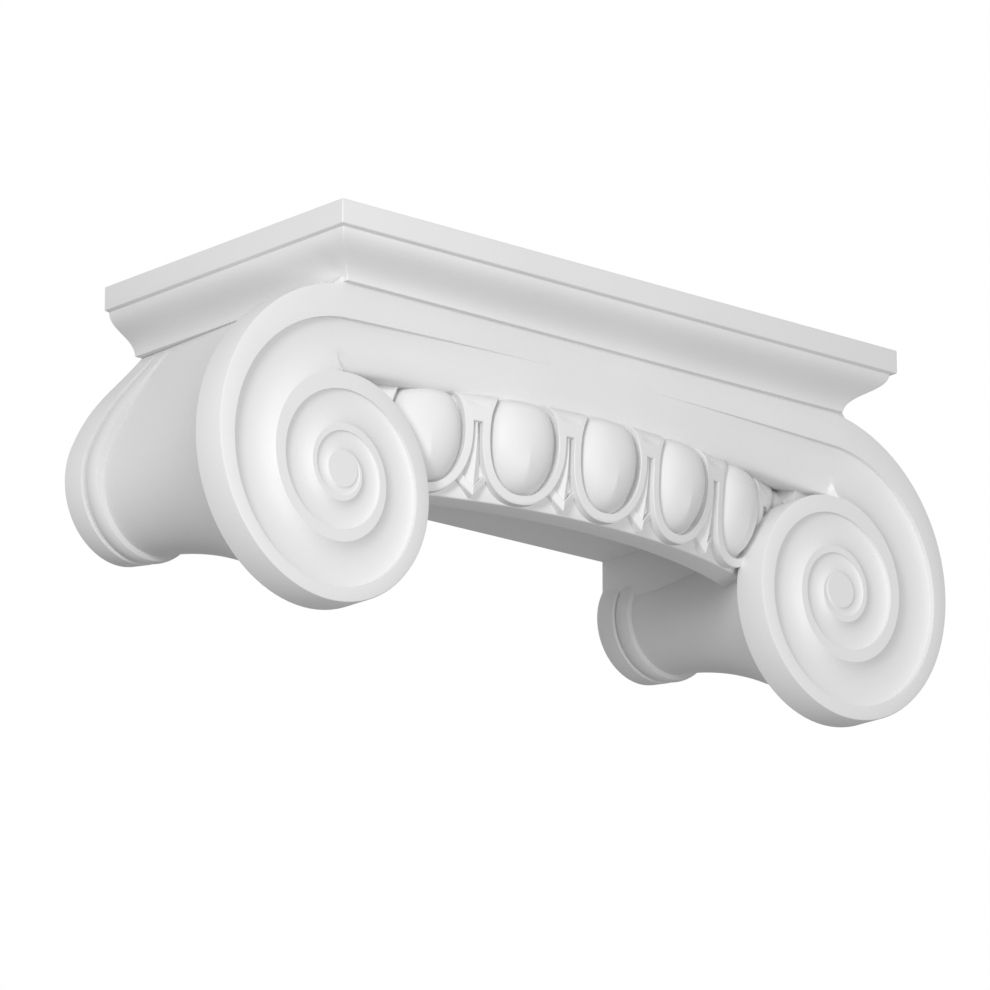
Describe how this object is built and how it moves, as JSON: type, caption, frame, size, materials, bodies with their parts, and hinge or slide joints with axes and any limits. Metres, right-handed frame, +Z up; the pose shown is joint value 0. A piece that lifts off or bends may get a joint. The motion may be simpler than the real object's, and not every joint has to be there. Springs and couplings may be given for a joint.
{
  "type": "half column capital",
  "caption": "Half column capital in the Ionic manner: moulded abacus, two spiral volutes with flared bolsters and an egg-and-dart echinus, flat at the back.",
  "frame": {"origin": "on the flat back, midway across, level with the abacus' underside", "axes": "+Z up, +Y into the wall, the front with the volutes looks along -Y, +X to the right when facing the front"},
  "size_m": [0.3894, 0.149, 0.156],
  "materials": {
    "moulded_white": "smooth matt white primer coat over rigid moulded foam"
  },
  "bodies": {
    "root": {"half_capital": "moulded_white"}
  },
  "joints": []
}
